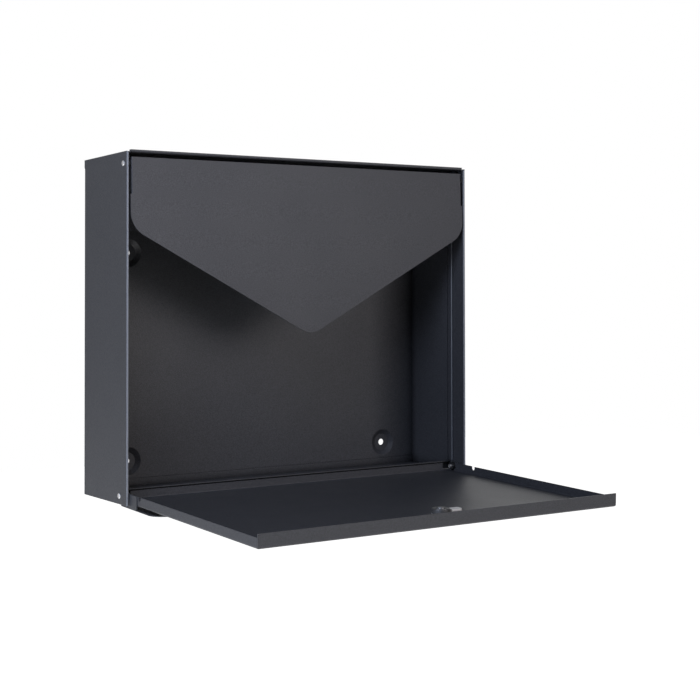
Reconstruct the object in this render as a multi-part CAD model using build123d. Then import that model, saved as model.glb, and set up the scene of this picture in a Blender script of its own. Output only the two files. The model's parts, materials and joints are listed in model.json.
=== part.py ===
from build123d import *
import math
import os

# Wall mounted mailbox folded from sheet steel, in millimetres.
# X runs along the wall, +Y points into the wall and +Z is up.
# The origin is the centre of the four wall holes, on the wall.

# Case
case_width = 410.0        # outside to outside of the two sides
case_height = 341.0       # lower edge of the sides to the front of the roof
case_depth = 102.0        # wall to front edge
sheet = 1.0               # steel sheet of every folded panel
edge_round = 0.8          # rounding of a fold or a pin's head, as a share of its thickness
seam = 0.2                # gap left between neighbouring panels
stop_gap = 0.3            # gap left where a moving piece meets its stop

# Sides and roof
side_hem = 2.6            # depth of the folded front edge of a side
side_hem_width = 2.6      # thickness of that fold
side_hem_round = 1.2      # rounding of its two front edges
roof_fall = 2.2           # drop of the roof from front to back
roof_hem = 4.0            # depth of the folded front edge of the roof
roof_hem_rise = 1.6       # height of that fold above the roof
roof_hem_inset = 3.5      # from a side's inner face to the end of that fold
roof_hem_round = 2.0      # rounding under that fold
rear_flange = 11.0        # flange turned down at the back of the roof
rear_flange_round = 4.0   # its lower corners
roof_side_flange = 10.0   # flanges turned down along the sides

# Inner liner
liner_gap = 1.7           # air between a side and the liner's wall
lip_back = 22.0           # front edge of the case to the liner's folded lip
lip_depth = 7.0           # depth of that lip
floor_height = 5.0        # lower edge of the sides to the top of the floor
sill_height = 12.9        # lower edge of the sides to the top of the floor's front lip
sill_turn = 3.0           # how far the top of that lip is turned to the front
rear_lip = 12.2           # lower edge of the sides to the top of the floor's rear lip

# Back panel and wall holes
panel_standoff = 4.2      # wall to the inner face of the back panel
hole_inset = 46.0         # side of the case to a wall hole
lower_hole_height = 30.0  # lower edge of the case to the lower holes
upper_hole_drop = 96.0    # roof to the upper holes
wall_hole = 7.0           # diameter of a wall hole
dimple_mouth = 29.3       # diameter of a dimple at the inner face
dimple_floor = 19.0       # diameter of its flat floor
dimple_round = 1.2        # rounding of its mouth

# Hinge pins and bushes
pin_dia = 4.0
pin_head_dia = 5.4
pin_head = 0.7            # height of the domed outer end
pin_shoulder_dia = 7.0    # collar that bears on the inside of a side
pin_fit = 0.05            # radial clearance of a pin in its holes
bush_sleeve_dia = 6.4
bush_collar_dia = 8.0
bush_fit = 0.03           # radial clearance of a bush in its panel
axial_play = 0.1          # play between a bush and the pin's shoulder

# Flap
flap_axis_back = 8.0      # front edge to the flap's hinge axis
flap_axis_drop = 11.5     # roof to that axis
flap_side_gap = 4.2       # outside of the case to the edge of the flap
flap_neck_inset = 1.3     # the part with the ears is narrower by this much on each side
flap_neck = 36.0          # height of that part
flap_face = 7.0           # hinge axis to the flap's outer face
flap_above = 5.9          # hinge axis to the flap's top edge
flap_side = 68.5          # top edge to the corners where the point starts
flap_point = 108.0        # these corners to the sharp tip, before rounding
flap_round = 25.0         # rounding of the corners and the tip
flap_tilt = 1.7           # degrees that the hanging flap leans outward
ear_back = 7.0            # hinge axis to the rear edge of an ear
heel_width = 4.0          # heel on an ear that meets the roof and stops the flap
flap_bush_collar = 1.5    # inner collar of a flap bush
flap_pin_stub = 2.0       # pin left free past the bush

# Door
door_axis_back = 16.5     # front edge to the door's hinge axis
door_axis_height = 8.0    # lower edge of the sides to that axis
door_top_drop = 70.0      # roof to the free edge of the closed door
door_open = 91.75         # degrees from closed to the open door of the rest pose
door_face = 6.3           # hinge axis to the door's outer face
door_tail = 7.6           # hinge axis to the lower end of the closed door
side_flange = 9.7         # height of the side flanges, from the outer face
top_flange = 13.2         # height of the flange along the free edge
tail_flange = 8.9         # height of the flange along the hinge
lobe_flange = 11.1        # height of the side flanges round the hinge pins
tail_relief = 10.5        # free corner at each end of that flange
hinge_lobe = 6.0          # how far the side flange stays high beyond the axis
bend_round = 1.0          # inner radius of the door's bends
ear_gap = 0.4             # gap from the lower plate's ears to the liner's lip
notch_round = 2.6         # radius of the round notch in the edge of each side flange
notch_drop = 1.4          # that edge to the notch's centre
notch_reach = 36.4        # hinge axis to that notch
door_bush_collar = 3.0    # inner collar of a door bush
door_bush_dia = 8.5       # its diameter
door_pin_stub = 2.3       # pin left free past the bush

# Lower front plate
plate_face = 10.8         # hinge axis to the plate's outer face
plate_drop = 2.5          # hinge axis to the plate's lower edge
plate_side = 65.0         # hinge axis to the corners where the point starts
plate_slope = 28.3        # degrees of the two upper edges
plate_round = 14.0        # rounding of those corners
plate_tip_round = 25.0    # rounding of the tip
ear_length = 31.7         # hinge axis to the front end of the ears
ear_lobe = 4.8            # radius of an ear round the pin

# Lock
lock_inset = 18.0         # free edge of the door to the lock's axis
barrel_dia = 17.0
barrel_reach = 9.4        # door's outer face to the inner end of the barrel
lock_head_dia = 22.0
lock_head = 1.4           # height of the barrel's outer head
plug_dia = 11.0
plug_rim_dia = 13.6       # rim of the plug, outside the barrel
plug_rim = 0.6            # its height
key_slot = 8.0            # length of the key slot
key_slot_width = 1.8
key_slot_depth = 4.0
lock_fit = 0.05           # radial clearance of the plug, nut and door hole
nut_flats = 22.0          # across the flats of the lock nut
nut_height = 3.0
cam_hub = 3.4             # height of the cam's hub
cam_sheet = 3.0           # thickness of the cam's arm
cam_reach = 22.5          # lock axis to the tip of the cam
cam_width = 9.0
cam_round = 3.0           # rounding of the corners of its tip
cam_edge = 1.0            # rounding along the arm's inner edge
cam_play = 0.1            # gap between barrel and cam
drive_flats = 7.0         # square drive between plug and cam
washer_dia = 16.0
washer_height = 0.8
screw_dia = 4.0
screw_head_dia = 8.0
screw_head = 1.2
screw_depth = 7.0         # thread in the plug

# Keeper
rail_height = 25.0
rail_gap = 0.5            # gap from the closed door to the rail, and from the lock to its keeper
rail_overlap = 6.0        # the rail reaches this far behind the closed door's free edge
rail_shelf = 12.0         # depth of the rail's upper flange
rail_tab = 22.0           # depth of the rail's welded ends
hook_width = 16.0
hook_sheet = 1.5
hook_play = 0.6           # gap between the hook's lip and the cam
hook_lip = 13.0           # height of the lip
hook_tip_gap = 2.5        # gap under the tip of the locked cam

# Places worked out from the sizes above
half = case_width / 2
side_in = half - sheet
shoulder_in = side_in - sheet
hem_in = half - side_hem_width
lip_in = side_in - 2 * sheet
liner_out = side_in - liner_gap
liner_in = liner_out - sheet
ear_out = lip_in - ear_gap
door_half = ear_out - sheet
flap_half = half - flap_side_gap
neck_half = flap_half - flap_neck_inset

hole_x = half - hole_inset
hole_z = (case_height - upper_hole_drop - lower_hole_height) / 2
bottom = -(lower_hole_height + hole_z)
top = bottom + case_height
front = -case_depth
rear = -(sheet + seam)

flap_axis_y = front + flap_axis_back
flap_axis_z = top - flap_axis_drop
door_axis_y = front + door_axis_back
door_axis_z = bottom + door_axis_height
door_length = case_height - door_top_drop - door_axis_height
side_edge = side_flange - door_face
top_edge = top_flange - door_face
tail_edge = tail_flange - door_face
lobe_edge = lobe_flange - door_face
lock_z = door_length - lock_inset
barrel_end = barrel_reach - door_face
cam_base = barrel_end + cam_play

lip_front = front + lip_back
lip_end = lip_front + lip_depth
floor_top = bottom + floor_height
lock_end = cam_base + cam_hub + washer_height + screw_head
rail_y = door_axis_y + max(top_edge, lock_end - sheet) + rail_gap
rail_low = door_axis_z + door_length - rail_overlap
rail_top = rail_low + rail_height


def roof_z(y):
    """Height of the sloping roof's upper face at a depth."""
    return top - roof_fall * (y - front) / case_depth


wall_top = roof_z(rear) - sheet - seam


def sill_stop():
    """Front of the floor's lip, just behind the hinge-side flange of the open door."""
    turn = math.radians(door_open)
    return door_axis_y - door_face * math.cos(turn) + door_tail * math.sin(turn) + stop_gap


def block(x, y, z):
    """A box between two limits on each axis, given in either order."""
    low = [min(pair) for pair in (x, y, z)]
    high = [max(pair) for pair in (x, y, z)]
    middle = [(a + b) / 2 for a, b in zip(low, high)]
    size = [b - a for a, b in zip(low, high)]
    return Pos(*middle) * Box(*size)


def rod_x(dia, x, y=0.0, z=0.0):
    """A round bar along X between two limits."""
    return Pos((x[0] + x[1]) / 2, y, z) * Rot(0, 90, 0) * Cylinder(dia / 2, abs(x[1] - x[0]))


def rod_y(dia, y, x=0.0, z=0.0):
    """A round bar along Y between two limits."""
    return Pos(x, (y[0] + y[1]) / 2, z) * Rot(90, 0, 0) * Cylinder(dia / 2, abs(y[1] - y[0]))


def cone_y(dia_front, dia_back, y, x, z):
    """A cone along Y, with its two diameters at the two limits."""
    place = Pos(x, (y[0] + y[1]) / 2, z) * Rot(-90, 0, 0)
    return place * Cone(dia_front / 2, dia_back / 2, y[1] - y[0])


def outline(points):
    """A flat shape with straight edges through the points."""
    return make_face(Polyline(*points, close=True))


def plate_x(shape, x):
    """A shape drawn in Y and Z, with its thickness between two limits on X."""
    return extrude(Plane.YZ.offset(min(x)) * shape, abs(x[1] - x[0]))


def plate_y(shape, y):
    """A shape drawn in X and Z, with its thickness between two limits on Y."""
    return extrude(Plane.XZ.offset(-max(y)) * shape, abs(y[1] - y[0]))


def both_sides(piece):
    """A piece of the right side, together with its mirror image."""
    return piece + mirror(piece, about=Plane.YZ)


def long_edges(piece, along, least):
    """Edges along an axis that are longer than a least length."""
    return [edge for edge in piece.edges().filter_by(along) if edge.length > least]


def face_edges(piece, y):
    """Edges round the face of a piece that lies at a depth."""
    return [edge for edge in piece.edges() if edge.center().Y < y + sheet / 4]


def hung_flap(piece):
    """Places a piece drawn about the flap's hinge axis."""
    return Pos(0, flap_axis_y, flap_axis_z) * Rot(-flap_tilt, 0, 0) * piece


def opened_door(piece):
    """Places a piece drawn about the door's hinge axis, for a closed door, where it lies when open."""
    return Pos(0, door_axis_y, door_axis_z) * Rot(door_open, 0, 0) * piece


def side_panel():
    """Right side: plate, folded front edge, closed rear edge and two pin holes."""
    corners = [(front, bottom), (rear, bottom), (rear, roof_z(rear)), (front, roof_z(front))]
    panel = plate_x(outline(corners), (side_in, half))
    hem_top = roof_z(front + side_hem) - sheet - seam
    panel += block((hem_in, side_in), (front, front + side_hem), (bottom, hem_top))
    upright = long_edges(panel, Axis.Z, case_height / 2)
    fold = [edge for edge in upright if edge.center().Y < front + sheet / 2]
    panel = fillet(fold, side_hem_round)
    closing_top = roof_z(rear) - sheet - roof_side_flange - seam
    panel += block((liner_out, side_in), (rear - sheet, rear), (bottom, closing_top))
    for y, z in ((flap_axis_y, flap_axis_z), (door_axis_y, door_axis_z)):
        panel -= rod_x(pin_dia + 2 * pin_fit, (side_in, half), y, z)
    return panel


def roof_strip(y, above, below):
    """Side view of a strip that follows the roof's slope, between two depths."""
    ahead, behind = y
    return outline([
        (ahead, roof_z(ahead) - below),
        (behind, roof_z(behind) - below),
        (behind, roof_z(behind) + above),
        (ahead, roof_z(ahead) + above),
    ])


def roof_panel():
    """Roof with a folded front edge, side flanges and a rear flange, sloping to the back."""
    fold_end = side_in - roof_hem_inset
    fold = plate_x(roof_strip((front, front + roof_hem), roof_hem_rise, sheet), (-fold_end, fold_end))
    lengthwise = ShapeList(edge for edge in fold.edges() if edge.length > case_width / 2)
    nose = lengthwise.sort_by(Axis.Y)[:2].sort_by(Axis.Z)
    fold = fillet(nose[0], roof_hem_round)
    roof = fold + plate_x(roof_strip((front + side_hem, 0), 0, sheet), (-side_in, side_in))
    flange_z = (roof_z(0) - rear_flange, roof_z(0))
    flange = Pos(0, sum(flange_z) / 2) * Rectangle(case_width, rear_flange)
    flange = fillet(flange.vertices().sort_by(Axis.Y)[:2], rear_flange_round)
    roof += plate_y(flange, (-sheet, 0))
    strip_y = (lip_end + 2 * sheet, rear - sheet - seam)
    side_strip = roof_strip(strip_y, -sheet / 2, sheet + roof_side_flange)
    return roof + both_sides(plate_x(side_strip, (shoulder_in, side_in)))


def inner_liner():
    """Inner walls with a folded front lip, and a floor with a lip at its front and rear."""
    wide = (-liner_out, liner_out)
    height = (floor_top - sheet, wall_top)
    turned_y = sill_stop()
    lip_y = turned_y + sill_turn
    tip = bottom + sill_height
    liner = block(wide, (lip_y, rear), (floor_top - sheet, floor_top))
    liner += block(wide, (lip_y, lip_y + sheet), (floor_top - sheet, tip))
    liner += block(wide, (turned_y, lip_y), (tip - sheet, tip))
    rear_y = (-panel_standoff - sheet, -panel_standoff)
    liner += block(wide, rear_y, (floor_top - sheet, bottom + rear_lip))
    lip = block((lip_in, side_in), (lip_front, lip_end + sheet), height)
    upright = long_edges(lip, Axis.Z, case_height / 2)
    fold = [edge for edge in upright if edge.center().Y < lip_front + sheet / 2]
    wall = fillet(fold, edge_round * sheet)
    wall += block((liner_in, side_in), (lip_end, lip_end + sheet), height)
    wall += block((liner_in, liner_out), (lip_end, rear), height)
    return liner + both_sides(wall)


def back_panel():
    """Shallow back pan with four dimples that reach the wall, each with a screw hole."""
    inner_y = -panel_standoff
    panel = block((-liner_in, liner_in), (inner_y, rear), (floor_top, wall_top))
    hollow_x = liner_in - sheet
    panel -= block((-hollow_x, hollow_x), (inner_y + sheet, 0), (floor_top + sheet, wall_top - sheet))
    for x in (-hole_x, hole_x):
        for z in (-hole_z, hole_z):
            panel += cone_y(dimple_mouth + 2 * sheet, dimple_floor + 2 * sheet, (inner_y, 0), x, z)
            panel -= cone_y(dimple_mouth, dimple_floor, (inner_y, -sheet), x, z)
            panel -= rod_y(wall_hole, (inner_y, sheet), x, z)
    circles = panel.edges().filter_by(GeomType.CIRCLE)
    mouths = [edge for edge in circles if edge.center().Y < inner_y + sheet / 2]
    return fillet(mouths, dimple_round)


def keeper_rail():
    """Angle rail across the opening, welded to the liner by its turned ends."""
    height = (rail_low, rail_top)
    rail = block((-liner_in, liner_in), (rail_y, rail_y + sheet), height)
    rail += block((-liner_in, liner_in), (rail_y, rail_y + rail_shelf), (rail_top - sheet, rail_top))
    return rail + both_sides(block((liner_in - sheet, liner_in), (rail_y, rail_y + rail_tab), height))


def lock_keeper():
    """Hook behind the rail: the cam of the closed lock turns down behind its lip."""
    stem_y = rail_y + sheet
    lip_back_y = door_axis_y + cam_base - hook_play
    low = door_axis_z + lock_z - cam_reach - hook_tip_gap - hook_sheet
    wide = (-hook_width / 2, hook_width / 2)
    hook = block(wide, (stem_y, stem_y + hook_sheet), (low, rail_top - sheet))
    hook += block(wide, (lip_back_y - hook_sheet, stem_y + hook_sheet), (low, low + hook_sheet))
    return hook + block(wide, (lip_back_y - hook_sheet, lip_back_y), (low, low + hook_lip))


def hinge_pin(inner_end, y, z):
    """Right hinge pin, held in the side between its domed head and its shoulder."""
    head = rod_x(pin_head_dia, (half, half + pin_head), y, z)
    rim = head.edges().filter_by(GeomType.CIRCLE).sort_by(Axis.X)[-1]
    head = fillet(rim, pin_head * edge_round)
    pin = head + rod_x(pin_dia, (inner_end, half), y, z)
    return pin + rod_x(pin_shoulder_dia, (shoulder_in, side_in), y, z)


def hinge_bush(panel_in, panel_out, collar, collar_dia, y, z):
    """Right bush: a sleeve through a panel, with a collar on each side of it."""
    bush = rod_x(collar_dia, (panel_in - collar, panel_in), y, z)
    bush += rod_x(bush_sleeve_dia, (panel_in, panel_out), y, z)
    bush += rod_x(bush_collar_dia, (panel_out, shoulder_in - axial_play), y, z)
    return bush - rod_x(pin_dia + 2 * pin_fit, (panel_in - collar, shoulder_in), y, z)


def flap_panel():
    """Pentagon flap with a rounded point and two ears that carry the bushes."""
    neck_low = flap_above - flap_neck
    corner = flap_above - flap_side
    right = [(neck_half, flap_above), (neck_half, neck_low), (flap_half, neck_low), (flap_half, corner)]
    left = [(-x, z) for x, z in reversed(right)]
    face = outline(right + [(0, corner - flap_point)] + left)
    face = fillet(face.vertices().sort_by(Axis.Y)[:3], flap_round)
    flap = plate_y(face, (-flap_face, sheet - flap_face))
    heel_top = roof_z(flap_axis_y + ear_back) - sheet - flap_axis_z - stop_gap
    heel_front = ear_back - heel_width
    ear = outline([
        (-flap_face, flap_above),
        (heel_front - heel_width / 2, flap_above),
        (heel_front, heel_top),
        (ear_back, heel_top),
        (ear_back, -bush_collar_dia),
        (sheet - flap_face, neck_low),
        (-flap_face, neck_low),
    ])
    flap += both_sides(plate_x(ear, (neck_half - sheet, neck_half)))
    outer = [edge for edge in face_edges(flap, -flap_face) if edge.length < flap_neck + sheet]
    bends = [edge for edge in outer if abs(abs(edge.center().X) - neck_half) < sheet / 2]
    flap = fillet(bends, edge_round * sheet)
    flap -= rod_x(bush_sleeve_dia + 2 * bush_fit, (-half, half))
    return hung_flap(flap)


def door_pan():
    """Door pan: face, four flanges of their own heights, hinge holes, notches and lock hole."""
    over = top_edge + sheet
    pan = block((-door_half, door_half), (-door_face, top_edge), (-door_tail, door_length))
    pan = fillet(face_edges(pan, -door_face), bend_round + sheet)
    inside_x = door_half - sheet
    inner_y = sheet - door_face
    inside = block((-inside_x, inside_x), (inner_y, over), (sheet - door_tail, door_length - sheet))
    pan -= fillet(face_edges(inside, inner_y), bend_round)
    pan -= block((-half, half), (side_edge, over), (hinge_lobe, door_length - sheet))
    pan -= block((-half, half), (lobe_edge, over), (-door_tail, hinge_lobe))
    pan -= block((-inside_x, inside_x), (tail_edge, over), (-door_tail, sheet - door_tail))
    relief_z = (-door_tail, -(door_bush_dia + sheet) / 2)
    pan -= both_sides(block((door_half - tail_relief, half), (2 * sheet - door_face, over), relief_z))
    pan -= rod_x(2 * notch_round, (-half, half), side_edge - notch_drop, notch_reach)
    pan -= rod_x(bush_sleeve_dia + 2 * bush_fit, (-half, half))
    pan -= rod_y(barrel_dia + 2 * lock_fit, (-door_face, sheet), 0, lock_z)
    return opened_door(pan)


def lower_front_plate():
    """Plate in front of the door, its upper edge rising to a point, with ears on the hinge pins."""
    rise = ear_out * math.tan(math.radians(plate_slope))
    right = [(ear_out, -plate_drop), (ear_out, plate_side)]
    left = [(-x, z) for x, z in reversed(right)]
    face = outline(right + [(0, plate_side + rise)] + left)
    face = fillet(face.vertices().sort_by(Axis.Y)[-1], plate_tip_round)
    outer = [point for point in face.vertices() if abs(abs(point.X) - ear_out) < sheet]
    face = fillet([point for point in outer if point.Y > 0], plate_round)
    plate = plate_y(face, (-plate_face, sheet - plate_face))
    ear = outline([(-plate_face, -plate_drop), (side_edge, -plate_drop),
                   (side_edge, ear_length), (-plate_face, ear_length)])
    ear += Circle(ear_lobe)
    plate += both_sides(plate_x(ear, (door_half, ear_out)))
    outer = [edge for edge in face_edges(plate, -plate_face) if edge.center().Z < ear_length]
    bends = [edge for edge in outer if abs(abs(edge.center().X) - ear_out) < sheet / 2]
    plate = fillet(bends, edge_round * sheet)
    plate -= rod_x(bush_sleeve_dia + 2 * bush_fit, (-half, half))
    return opened_door(plate)


def lock_housing():
    """Barrel of the lock with its outer head, bored for the plug."""
    face = -door_face
    head = rod_y(lock_head_dia, (face - lock_head, face), 0, lock_z)
    rim = head.edges().filter_by(GeomType.CIRCLE).sort_by(Axis.Y)[0]
    head = fillet(rim, lock_head / 2)
    barrel = head + rod_y(barrel_dia, (face, barrel_end), 0, lock_z)
    barrel -= rod_y(plug_dia + 2 * lock_fit, (face - lock_head, barrel_end), 0, lock_z)
    return opened_door(barrel)


def lock_nut():
    """Hexagon nut that clamps the barrel on the inside of the door."""
    hexagon = RegularPolygon(nut_flats / 2, 6, major_radius=False)
    seat = sheet - door_face
    nut = Pos(0, 0, lock_z) * plate_y(hexagon, (seat, seat + nut_height))
    nut -= rod_y(barrel_dia + 2 * lock_fit, (seat, seat + nut_height), 0, lock_z)
    return opened_door(nut)


def lock_plug():
    """Plug that the key turns, with a square drive for the cam and a thread for its screw."""
    face = -door_face - lock_head
    outer = face - axial_play - plug_rim
    plug = rod_y(plug_rim_dia, (outer, outer + plug_rim), 0, lock_z)
    rim = plug.edges().filter_by(GeomType.CIRCLE).sort_by(Axis.Y)[0]
    plug = fillet(rim, plug_rim / 2)
    plug += rod_y(plug_dia, (outer + plug_rim, cam_base), 0, lock_z)
    drive = drive_flats / 2
    drive_end = cam_base + cam_hub - axial_play
    plug += block((-drive, drive), (cam_base, drive_end), (lock_z - drive, lock_z + drive))
    slot_x = key_slot_width / 2
    slot_z = key_slot / 2
    slot_y = (outer, outer + key_slot_depth)
    plug -= block((-slot_x, slot_x), slot_y, (lock_z - slot_z, lock_z + slot_z))
    plug -= rod_y(screw_dia + 2 * lock_fit, (drive_end - screw_depth - sheet, drive_end), 0, lock_z)
    return opened_door(plug)


def lock_cam():
    """Cam: a round hub on the square drive, with an arm that points along the free edge."""
    hub = rod_y(barrel_dia, (cam_base, cam_base + cam_hub), 0, lock_z)
    arm = Pos(cam_reach / 2, 0) * Rectangle(cam_reach, cam_width)
    arm = fillet(arm.vertices().sort_by(Axis.X)[-2:], cam_round)
    arm = Pos(0, 0, lock_z) * plate_y(arm, (cam_base, cam_base + cam_sheet))
    arm = fillet(arm.faces().sort_by(Axis.Y)[-1].edges(), cam_edge)
    cam = hub + arm
    drive = drive_flats / 2 + lock_fit
    cam -= block((-drive, drive), (cam_base, cam_base + cam_hub), (lock_z - drive, lock_z + drive))
    return opened_door(cam)


def cam_washer():
    """Washer on the cam's hub."""
    seat = cam_base + cam_hub
    washer = rod_y(washer_dia, (seat, seat + washer_height), 0, lock_z)
    washer -= rod_y(screw_dia + 2 * lock_fit, (seat, seat + washer_height), 0, lock_z)
    return opened_door(washer)


def cam_screw():
    """Screw that holds washer and cam on the plug."""
    seat = cam_base + cam_hub + washer_height
    head = rod_y(screw_head_dia, (seat, seat + screw_head), 0, lock_z)
    rim = head.edges().filter_by(GeomType.CIRCLE).sort_by(Axis.Y)[-1]
    head = fillet(rim, screw_head / 2)
    screw = head + rod_y(screw_dia, (seat - washer_height - screw_depth, seat), 0, lock_z)
    return opened_door(screw)


def paired(name, right_piece):
    """A right piece and its mirror image as two named nodes."""
    return {f"{name}_right": right_piece, f"{name}_left": mirror(right_piece, about=Plane.YZ)}


def build():
    """All pieces of the mailbox by name."""
    flap_pin_end = neck_half - sheet - flap_bush_collar - flap_pin_stub
    door_pin_end = door_half - sheet - door_bush_collar - door_pin_stub
    flap_axis = (flap_axis_y, flap_axis_z)
    door_axis = (door_axis_y, door_axis_z)
    flap_bush = hinge_bush(neck_half - sheet, neck_half, flap_bush_collar, bush_collar_dia, *flap_axis)
    door_bush = hinge_bush(door_half - sheet, ear_out, door_bush_collar, door_bush_dia, *door_axis)
    side = side_panel()
    return {
        "right_side_panel": side,
        "left_side_panel": mirror(side, about=Plane.YZ),
        "roof_panel": roof_panel(),
        "inner_liner": inner_liner(),
        "back_panel": back_panel(),
        "keeper_rail": keeper_rail(),
        "lock_keeper": lock_keeper(),
        **paired("flap_pin", hinge_pin(flap_pin_end, *flap_axis)),
        **paired("door_pin", hinge_pin(door_pin_end, *door_axis)),
        "flap_panel": flap_panel(),
        **paired("flap_bush", flap_bush),
        "door_pan": door_pan(),
        "lower_front_plate": lower_front_plate(),
        **paired("door_bush", door_bush),
        "lock_housing": lock_housing(),
        "lock_nut": lock_nut(),
        "lock_plug": lock_plug(),
        "lock_cam": lock_cam(),
        "cam_washer": cam_washer(),
        "cam_screw": cam_screw(),
    }


os.makedirs("parts", exist_ok=True)
for node, piece in build().items():
    export_step(piece, f"parts/{node}.step")
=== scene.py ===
# %% [markdown]
# # A wall mounted mailbox in Blender
#
# The mailbox is folded from thin sheet steel and sprayed with a fine, matte
# anthracite powder coat. Its lower front is a door that has swung down, and a
# pointed flap hangs over the letter slot like the flap of an envelope.
# The shapes come from the CAD model, so this lesson is about finish and light.
# We first load that model. Nothing here may grow it.

import json
import math

import bpy
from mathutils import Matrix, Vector


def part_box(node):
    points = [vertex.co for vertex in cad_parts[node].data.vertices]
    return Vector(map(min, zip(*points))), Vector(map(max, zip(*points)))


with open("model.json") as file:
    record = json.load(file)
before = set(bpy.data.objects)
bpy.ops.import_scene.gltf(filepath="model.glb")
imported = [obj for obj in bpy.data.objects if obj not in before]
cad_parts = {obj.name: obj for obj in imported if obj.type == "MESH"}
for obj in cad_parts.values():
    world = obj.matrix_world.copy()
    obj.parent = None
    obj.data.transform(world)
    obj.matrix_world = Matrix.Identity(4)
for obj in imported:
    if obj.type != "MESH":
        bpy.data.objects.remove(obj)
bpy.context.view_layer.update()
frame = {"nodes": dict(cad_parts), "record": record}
nodes = frame["nodes"]

# %% [markdown]
# ## The camera
#
# The photograph was taken from the left, at about the height of the flap, with
# a longish lens. A camera can be placed by eye, but here its place was worked
# out from the straight edges of the case, so that edges fall where they do in
# the picture. The small lens shift stands for the way the picture was cropped.

# %% Camera
SENSOR_WIDTH = 36.0
LENS_LENGTH = 75.39
CROP_SHIFT = (-0.0773, -0.1325)
CAMERA_PLACE = (-0.79876, -1.40567, 0.07302)
CAMERA_TURN = (91.111, 0.126, -35.203)
FARTHEST_SEEN = 50.0

camera_data = bpy.data.cameras.new("photo_camera")
camera_data.sensor_width = SENSOR_WIDTH
camera_data.lens = LENS_LENGTH
camera_data.shift_x, camera_data.shift_y = CROP_SHIFT
camera_data.clip_end = FARTHEST_SEEN
camera = bpy.data.objects.new("photo_camera", camera_data)
camera.location = CAMERA_PLACE
camera.rotation_euler = [math.radians(angle) for angle in CAMERA_TURN]
bpy.context.scene.collection.objects.link(camera)
bpy.context.scene.camera = camera
bpy.context.scene.view_settings.view_transform = "Standard"
print("camera at", CAMERA_PLACE, "lens", LENS_LENGTH)

# %% [markdown]
# ## Small tools for node trees
#
# Every finish below is a node tree. Nodes could be placed by hand in the shader
# editor, but a script shows each choice. A few helpers keep the cells short:
# they add a node and fill its sockets, or start a material with a Principled
# shader, which is the usual start for paint, metal and plastic.

# %% Node helpers
def fill(tree, socket, value):
    """Links a socket to another one, or sets it to a fixed value."""
    if isinstance(value, bpy.types.NodeSocket):
        tree.links.new(value, socket)
    else:
        socket.default_value = value


def add_node(tree, kind, settings=None, **sockets):
    """Adds a node, sets its properties and fills its named sockets."""
    node = tree.nodes.new(kind)
    for key, value in (settings or {}).items():
        setattr(node, key, value)
    for key, value in sockets.items():
        fill(tree, node.inputs[key.replace("_", " ")], value)
    return node


def add_math(tree, operation, *values):
    """Adds a maths node and fills its inputs in order."""
    node = add_node(tree, "ShaderNodeMath", {"operation": operation})
    for socket, value in zip(node.inputs, values):
        fill(tree, socket, value)
    return node.outputs["Value"]


def new_finish(name):
    """An empty material with a Principled shader, and the place on the piece."""
    finish = bpy.data.materials.new(name)
    finish.use_nodes = True
    tree = finish.node_tree
    tree.nodes.clear()
    shader = tree.nodes.new("ShaderNodeBsdfPrincipled")
    output = tree.nodes.new("ShaderNodeOutputMaterial")
    tree.links.new(shader.outputs["BSDF"], output.inputs["Surface"])
    place = tree.nodes.new("ShaderNodeTexCoord").outputs["Object"]
    return finish, tree, shader, place


print("node helpers ready")

# %% [markdown]
# ## Bands and blends
#
# A noise node gives values around one half. Colours and roughness follow it
# through a band: a colour ramp for colours, and a map range for numbers. A
# smooth step is a map range with soft ends. It serves wherever a finish changes
# from one place to the next.

# %% Bands, steps and blends
NOISE_LOW = 0.25
NOISE_HIGH = 0.75
TONE_START = 0.3
TONE_END = 0.7


def noise(tree, place, **sockets):
    """The value of a noise texture at a place."""
    return add_node(tree, "ShaderNodeTexNoise", Vector=place, **sockets).outputs["Fac"]


def colour_band(tree, factor, dark, light):
    """A colour ramp between two colours."""
    ramp = add_node(tree, "ShaderNodeValToRGB", Fac=factor)
    first, last = ramp.color_ramp.elements
    first.position = TONE_START
    first.color = (*dark, 1.0)
    last.position = TONE_END
    last.color = (*light, 1.0)
    return ramp.outputs["Color"]


def number_band(tree, value, low, high, start=NOISE_LOW, end=NOISE_HIGH):
    """Goes evenly from low to high while the value goes from start to end."""
    band = add_node(tree, "ShaderNodeMapRange", Value=value,
                    From_Min=start, From_Max=end, To_Min=low, To_Max=high)
    return band.outputs["Result"]


def smooth_step(tree, value, start, end, low=0.0, high=1.0):
    """Goes from low to high with soft ends while the value goes from start to end."""
    step = add_node(tree, "ShaderNodeMapRange", {"interpolation_type": "SMOOTHSTEP"}, Value=value,
                    From_Min=start, From_Max=end, To_Min=low, To_Max=high)
    return step.outputs["Result"]


def blend_tones(tree, share, first, second):
    """Mixes two colours. The Mix node has its colour sockets at 6 and 7, and at 2."""
    blend = add_node(tree, "ShaderNodeMix", {"data_type": "RGBA"}, Factor=share)
    fill(tree, blend.inputs[6], first)
    fill(tree, blend.inputs[7], second)
    return blend.outputs[2]


print("noise is used between", NOISE_LOW, "and", NOISE_HIGH)

# %% [markdown]
# ## Painted highlight on the folds
#
# The rounded front folds of the sides and of the liner show a bright line of
# highlight. It is painted into the coat as a lighter colour. It could be a
# separate strip, but the fold is one sheet with the rest. So the highlight is
# painted by depth: it turns lighter within a millimetre of the front edge, and
# the frame says where that edge is.

# %% Painted highlight on a fold
# The colour of the painted highlight on the folds.
PAINTED_HIGHLIGHT_TONE = (0.25, 0.26, 0.28, 1.0)
HIGHLIGHT_WIDTH = 0.0010


def front_edge(node):
    """The depth at which a piece begins, seen from the front."""
    lowest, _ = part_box(node)
    return lowest.y


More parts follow.
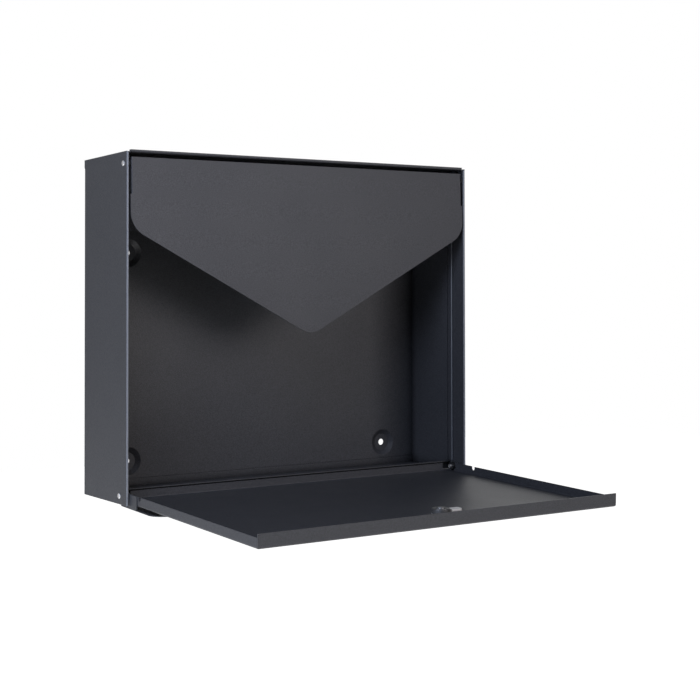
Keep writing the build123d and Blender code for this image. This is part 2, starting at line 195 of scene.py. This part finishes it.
def painted_fold_highlight(tree, place, coat, edge):
    """Paints a highlight as a lighter coat close behind a front edge."""
    depth = add_node(tree, "ShaderNodeSeparateXYZ", Vector=place).outputs["Y"]
    highlight_share = smooth_step(tree, depth, edge, edge + HIGHLIGHT_WIDTH, low=1.0, high=0.0)
    return blend_tones(tree, highlight_share, coat, PAINTED_HIGHLIGHT_TONE)


side_edge = front_edge("left_side_panel")
liner_edge = front_edge("inner_liner")
print(f"front edges: sides {side_edge:.4f} m, liner {liner_edge:.4f} m")

# %% [markdown]
# ## Painted shade in corners
#
# Deep inner corners shut out light. More contrast in the lamps would darken the
# whole inside, so shade is painted into the coat instead: it turns darker and
# duller there, where an ambient occlusion node finds other faces near by.

# %% Painted shade in inner corners
CORNER_REACH = 0.014
CORNER_SHADE = 0.15
CORNER_CLOSED = 0.25
CORNER_OPEN = 0.85
CORNER_SAMPLES = 8
FLAT_GLOSS = 0.5


def painted_corner_shade(tree, shader, coat):
    """Paints shade: darkens and dulls the coat where nearby faces close it in."""
    corner = add_node(tree, "ShaderNodeAmbientOcclusion", {"samples": CORNER_SAMPLES},
                      Distance=CORNER_REACH)
    shade = number_band(tree, corner.outputs["AO"], CORNER_SHADE, 1.0, CORNER_CLOSED, CORNER_OPEN)
    fill(tree, shader.inputs["Specular IOR Level"], add_math(tree, "MULTIPLY", shade, FLAT_GLOSS))
    # Painted shade: the coat colour is scaled down in closed corners.
    darker = add_node(tree, "ShaderNodeVectorMath", {"operation": "SCALE"}, Vector=coat, Scale=shade)
    return darker.outputs["Vector"]


print("corners darken within", CORNER_REACH, "m")

# %% [markdown]
# ## Powder coat
#
# Powder is sprayed on dry and melts in an oven. It leaves a fine grain of about
# a millimetre, over a slower ripple that is called orange peel. The grain could
# be a picture, but noise textures do it at any distance. Two noises bend the
# normal, the grain also changes the colour, and a third, very broad one changes
# the gloss a little.

# %% Powder coat finish
COAT_DARK = (0.036, 0.037, 0.041)
COAT_LIGHT = (0.075, 0.076, 0.083)
COAT_ROUGHNESS = (0.40, 0.46)
COAT_IOR = 1.5
GRAIN_SCALE = 1100.0
PEEL_SCALE = 260.0
CLOUD_SCALE = 14.0
GRAIN_HEIGHT = 0.0003
PEEL_HEIGHT = 0.0004


def powder_coat(name, highlight_edge=None, corners=False):
    """The coat, with a painted highlight at a front edge or painted shade in corners where asked
    for.
    """
    finish, tree, shader, place = new_finish(name)
    grain = noise(tree, place, Scale=GRAIN_SCALE, Detail=2.0, Roughness=0.6)
    peel = noise(tree, place, Scale=PEEL_SCALE, Detail=1.0)
    cloud = noise(tree, place, Scale=CLOUD_SCALE, Detail=2.0)
    coat = colour_band(tree, grain, COAT_DARK, COAT_LIGHT)
    if highlight_edge is not None:
        coat = painted_fold_highlight(tree, place, coat, highlight_edge)
    if corners:
        coat = painted_corner_shade(tree, shader, coat)
    ripple = add_node(tree, "ShaderNodeBump", Height=peel, Strength=0.12, Distance=PEEL_HEIGHT)
    fine = add_node(tree, "ShaderNodeBump", Height=grain, Strength=0.6, Distance=GRAIN_HEIGHT,
                    Normal=ripple.outputs["Normal"])
    fill(tree, shader.inputs["Base Color"], coat)
    fill(tree, shader.inputs["Roughness"], number_band(tree, cloud, *COAT_ROUGHNESS))
    fill(tree, shader.inputs["Normal"], fine.outputs["Normal"])
    shader.inputs["IOR"].default_value = COAT_IOR
    return finish


anthracite = powder_coat("powder_coat_anthracite")
# The sides and the liner carry a painted highlight on the fold, the liner and the back painted shade
# in corners.
side_coat_painted_highlight = powder_coat("powder_coat_side_painted_highlight", highlight_edge=side_edge)
liner_coat_painted_highlight_and_shade = powder_coat("powder_coat_liner_painted_highlight_and_shade", highlight_edge=liner_edge, corners=True)
back_coat_painted_shade = powder_coat("powder_coat_back_painted_shade", corners=True)
print("finishes:", anthracite.name, side_coat_painted_highlight.name, liner_coat_painted_highlight_and_shade.name, back_coat_painted_shade.name)

# %% [markdown]
# ## Nickel and zinc
#
# The hinge pins and the lock are plated, so most of their look is what they
# mirror. Plain metal would look like a perfect mirror, so fine marks are drawn
# by a noise that is stretched along one direction. The cam of the lock is cast.
# Shade is painted on its hub as a dark tone, and a highlight is painted on its
# arm as a near white plated tone. That is painted by the distance along the arm,
# from where the hub ends. The nut, washer and screw of the lock are duller.

# %% Metal finishes
# The dark tone of the painted shade on the hub of the cam.
PAINTED_HUB_SHADE = (0.22, 0.22, 0.22, 1.0)
HUB_TO_ARM_BLEND = 0.0015
MARK_SCALE = 900.0
MARK_HEIGHT = 0.0001
ALONG_DEPTH = (1.0, 0.15, 1.0)
ALONG_WIDTH = (0.2, 1.0, 1.0)


def painted_hub_shade_and_arm_highlight(tree, place, tone, hub_end):
    """Paints shade on the hub up to its end, and a highlight on the arm beyond it."""
    along_arm = add_node(tree, "ShaderNodeSeparateXYZ", Vector=place).outputs["X"]
    arm_highlight_share = smooth_step(tree, along_arm, hub_end, hub_end + HUB_TO_ARM_BLEND)
    return blend_tones(tree, arm_highlight_share, PAINTED_HUB_SHADE, tone)


def plated(name, dark, light, roughness, marks_run=ALONG_DEPTH, hub_end=None):
    """Plated metal with fine marks; on a cam, with painted shade on the hub and a painted highlight
    beyond it.
    """
    finish, tree, shader, place = new_finish(name)
    stretch = add_node(tree, "ShaderNodeMapping", Vector=place, Scale=marks_run)
    marks = noise(tree, stretch.outputs["Vector"], Scale=MARK_SCALE, Detail=3.0)
    tone = colour_band(tree, marks, dark, light)
    if hub_end is not None:
        tone = painted_hub_shade_and_arm_highlight(tree, place, tone, hub_end)
    bump = add_node(tree, "ShaderNodeBump", Height=marks, Strength=0.08, Distance=MARK_HEIGHT)
    fill(tree, shader.inputs["Base Color"], tone)
    fill(tree, shader.inputs["Roughness"], number_band(tree, marks, *roughness))
    fill(tree, shader.inputs["Normal"], bump.outputs["Normal"])
    shader.inputs["Metallic"].default_value = 1.0
    return finish


cam_lowest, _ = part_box("lock_cam")
cam_hub_end = -cam_lowest.x
nickel = plated("satin_nickel", (0.82, 0.81, 0.80), (0.93, 0.92, 0.91), roughness=(0.44, 0.56))
darker_nickel = plated("darker_nickel", (0.26, 0.26, 0.26), (0.42, 0.42, 0.42), roughness=(0.40, 0.52))
# The near white tone of the cam is a painted highlight on its arm.
cam_painted_highlight_and_shade = plated("cam_painted_highlight_and_shade", (0.94, 0.93, 0.91), (0.99, 0.98, 0.96), roughness=(0.60, 0.72),
                    hub_end=cam_hub_end)
zinc = plated("dull_zinc", (0.42, 0.43, 0.44), (0.60, 0.61, 0.62), roughness=(0.35, 0.50),
              marks_run=ALONG_WIDTH)
print("finishes:", nickel.name, darker_nickel.name, cam_painted_highlight_and_shade.name, zinc.name)
print(f"the hub of the cam ends {cam_hub_end:.4f} m from the lock's axis")

# %% [markdown]
# ## Black plastic
#
# The bushes that the hinge pins turn in are moulded in black plastic. A single
# black would look like a hole, so a faint grain changes its tone and gloss.

# %% Plastic finish
PLASTIC_DARK = (0.010, 0.010, 0.011)
PLASTIC_LIGHT = (0.020, 0.020, 0.021)
PLASTIC_ROUGHNESS = (0.38, 0.5)
PLASTIC_SCALE = 2200.0
PLASTIC_HEIGHT = 0.0001


def moulded_plastic(name):
    """Black plastic with the faint grain of its mould."""
    finish, tree, shader, place = new_finish(name)
    grain = noise(tree, place, Scale=PLASTIC_SCALE, Detail=2.0)
    bump = add_node(tree, "ShaderNodeBump", Height=grain, Strength=0.1, Distance=PLASTIC_HEIGHT)
    fill(tree, shader.inputs["Base Color"], colour_band(tree, grain, PLASTIC_DARK, PLASTIC_LIGHT))
    fill(tree, shader.inputs["Roughness"], number_band(tree, grain, *PLASTIC_ROUGHNESS))
    fill(tree, shader.inputs["Normal"], bump.outputs["Normal"])
    return finish


black_plastic = moulded_plastic("moulded_black")
print("finish:", black_plastic.name)

# %% [markdown]
# ## Dressing the pieces
#
# Each CAD piece has a material slot in its record. We look the slot up and put
# the matching finish on the piece. The sides and the liner get the coat with
# the painted highlight on the fold, and the liner and the back the one with
# painted shade in the corners. The cam gets painted shade on its hub and a
# painted highlight on its arm. The shape of each piece stays exactly as the CAD made it.

# %% Put the finishes on the CAD pieces
finish_of_slot = {
    "powder_coat": anthracite,
    "nickel": nickel,
    "zinc_plate": zinc,
    "black_plastic": black_plastic,
}
finish_of_piece = {
    "left_side_panel": side_coat_painted_highlight,
    "right_side_panel": side_coat_painted_highlight,
    "inner_liner": liner_coat_painted_highlight_and_shade,
    "back_panel": back_coat_painted_shade,
    "lock_cam": cam_painted_highlight_and_shade,
    "lock_nut": darker_nickel,
    "cam_washer": darker_nickel,
    "cam_screw": darker_nickel,
}
for subpart in frame["record"]["subparts"]:
    piece = nodes[subpart["node"]]
    piece.data.materials.clear()
    slot_finish = finish_of_slot[subpart["material_slot"]]
    piece.data.materials.append(finish_of_piece.get(subpart["node"], slot_finish))

# %% [markdown]
# ## Background
#
# The photograph has a plain white background. A white world does that for the
# camera and for glass. The pieces themselves see a pale wall behind the box,
# brighter on the right, and a darker room in front. Metal and the satin coat
# mirror a share of the white on that wall. If they mirrored all the white, the
# coat would come out much lighter than in the picture, most of all on the left
# side of the box.

# %% World
WHITE = (1.0, 1.0, 1.0, 1.0)
WALL_BEHIND = (0.1, 0.7)
WALL_FOOT = (-0.12, 0.05)
WALL_MIDDLE = (-0.15, 0.15)
WALL_LEFT = 0.31
WALL_RIGHT = 0.74
MIRROR_SHARE = 0.10


def seen_and_mirrored(tree):
    """What the camera and glass see, and what glossy pieces mirror."""
    ray = tree.nodes.new("ShaderNodeLightPath").outputs
    seen = add_math(tree, "MAXIMUM", ray["Is Camera Ray"], ray["Is Transmission Ray"])
    return seen, ray["Is Glossy Ray"]


world = bpy.data.worlds.new("studio")
bpy.context.scene.world = world
world.use_nodes = True
sky = world.node_tree
sky.nodes.clear()
direction = sky.nodes.new("ShaderNodeTexCoord").outputs["Generated"]
heading = add_node(sky, "ShaderNodeSeparateXYZ", Vector=direction).outputs
behind = smooth_step(sky, heading["Y"], *WALL_BEHIND)
above = smooth_step(sky, heading["Z"], *WALL_FOOT)
brightness = smooth_step(sky, heading["X"], *WALL_MIDDLE, low=WALL_LEFT, high=WALL_RIGHT)
wall = add_math(sky, "MULTIPLY", behind, above)
wall_glow = add_math(sky, "MULTIPLY", wall, brightness)
room_light = add_node(sky, "ShaderNodeBackground", Color=WHITE, Strength=wall_glow)
white_sky = add_node(sky, "ShaderNodeBackground", Color=WHITE, Strength=1.0)
seen, mirrored = seen_and_mirrored(sky)
mirrored_wall = add_math(sky, "MULTIPLY", mirrored, wall)
white_share = add_math(sky, "MULTIPLY_ADD", mirrored_wall, MIRROR_SHARE, seen)
choice = add_node(sky, "ShaderNodeMixShader", Fac=white_share)
sky.links.new(room_light.outputs["Background"], choice.inputs[1])
sky.links.new(white_sky.outputs["Background"], choice.inputs[2])
sky_output = sky.nodes.new("ShaderNodeOutputWorld")
sky.links.new(choice.outputs["Shader"], sky_output.inputs["Surface"])
print("wall glow from", WALL_LEFT, "on the left to", WALL_RIGHT, "on the right")

# %% [markdown]
# ## Floor
#
# The floor lies well below the box, as the ground does below a box on a wall.
# The photograph does not show it, so it is white to the camera, and nearly as
# white where the pieces mirror it. To the lamps it is a plain pale floor. It
# belongs to the stage and not to the mailbox.

# %% Floor
FLOOR_HEIGHT = -1.15
FLOOR_REACH = 8.0
FLOOR_TONE = (0.86, 0.86, 0.86, 1.0)
FLOOR_MIRROR = 0.80

floor_corners = [(x * FLOOR_REACH, y * FLOOR_REACH, FLOOR_HEIGHT)
                 for x, y in ((-1, -1), (1, -1), (1, 1), (-1, 1))]
floor_mesh = bpy.data.meshes.new("floor")
floor_mesh.from_pydata(floor_corners, [], [(0, 1, 2, 3)])
floor = bpy.data.objects.new("floor", floor_mesh)
bpy.context.scene.collection.objects.link(floor)
pale = bpy.data.materials.new("pale_floor")
pale.use_nodes = True
ground = pale.node_tree
ground.nodes.clear()
matt = add_node(ground, "ShaderNodeBsdfDiffuse", Color=FLOOR_TONE)
seen, mirrored = seen_and_mirrored(ground)
floor_glow = add_math(ground, "MULTIPLY_ADD", mirrored, FLOOR_MIRROR, seen)
lift = add_node(ground, "ShaderNodeEmission", Color=WHITE, Strength=floor_glow)
both = ground.nodes.new("ShaderNodeAddShader")
ground.links.new(matt.outputs["BSDF"], both.inputs[0])
ground.links.new(lift.outputs["Emission"], both.inputs[1])
ground_output = ground.nodes.new("ShaderNodeOutputMaterial")
ground.links.new(both.outputs["Shader"], ground_output.inputs["Surface"])
floor_mesh.materials.append(pale)
print("floor at", FLOOR_HEIGHT, "m")

# %% [markdown]
# ## Light
#
# The pictures of such boxes are lit by large soft lamps. Here three cool ones
# stand on the left: one level with the box, one higher and nearer, and a small
# one low beside the door. They light the left side, and make the left of the
# flap and the left edge of the door brighter than the rest. A fourth stands for
# the light that a white floor throws up from the front, and the last fills the
# front from the right.
# Most are placed by their turn from the front, their height angle and their
# distance, which is how lamps are set up around a subject.

# %% Lamps
LAMP_AIM = (0.0, -0.1, 0.0)
LOW_LAMP_AIM = (-0.15, -0.25, -0.12)
BOUNCE_AIM = (0.0, -0.25, -0.1)
COOL = (0.70, 0.79, 1.0)
NEUTRAL = (1.0, 1.0, 1.0)
WARM = (1.0, 0.95, 0.97)


def soft_lamp(name, place, aim, size, watts, colour):
    """A rectangular soft lamp that points at its aim."""
    lamp_data = bpy.data.lights.new(name, "AREA")
    lamp_data.shape = "RECTANGLE"
    lamp_data.size, lamp_data.size_y = size
    lamp_data.energy = watts
    lamp_data.color = colour
    lamp = bpy.data.objects.new(name, lamp_data)
    lamp.location = place
    lamp.rotation_euler = (Vector(aim) - Vector(place)).to_track_quat("-Z", "Y").to_euler()
    bpy.context.scene.collection.objects.link(lamp)
    print("lamp", name, watts, "W")


def around_box(turn, rise, reach):
    """A place by its turn from the front and its rise, in degrees, and its distance."""
    turn, rise = math.radians(turn), math.radians(rise)
    flat = reach * math.cos(rise)
    return (flat * math.sin(turn), LAMP_AIM[1] - flat * math.cos(turn), reach * math.sin(rise))


soft_lamp("left_side", around_box(turn=-64, rise=8, reach=2.0), LAMP_AIM,
          size=(0.7, 0.7), watts=8.0, colour=COOL)
soft_lamp("left_high", around_box(turn=-50, rise=36, reach=1.1), LAMP_AIM,
          size=(0.5, 0.5), watts=5.0, colour=COOL)
soft_lamp("left_low", (-0.85, -0.30, -0.45), LOW_LAMP_AIM,
          size=(0.4, 0.4), watts=1.8, colour=COOL)
soft_lamp("floor_bounce", (-0.65, -1.10, -1.0), BOUNCE_AIM,
          size=(1.0, 0.9), watts=5.5, colour=NEUTRAL)
soft_lamp("front_right", around_box(turn=23, rise=12, reach=2.0), LAMP_AIM,
          size=(0.98, 0.90), watts=8.8, colour=WARM)
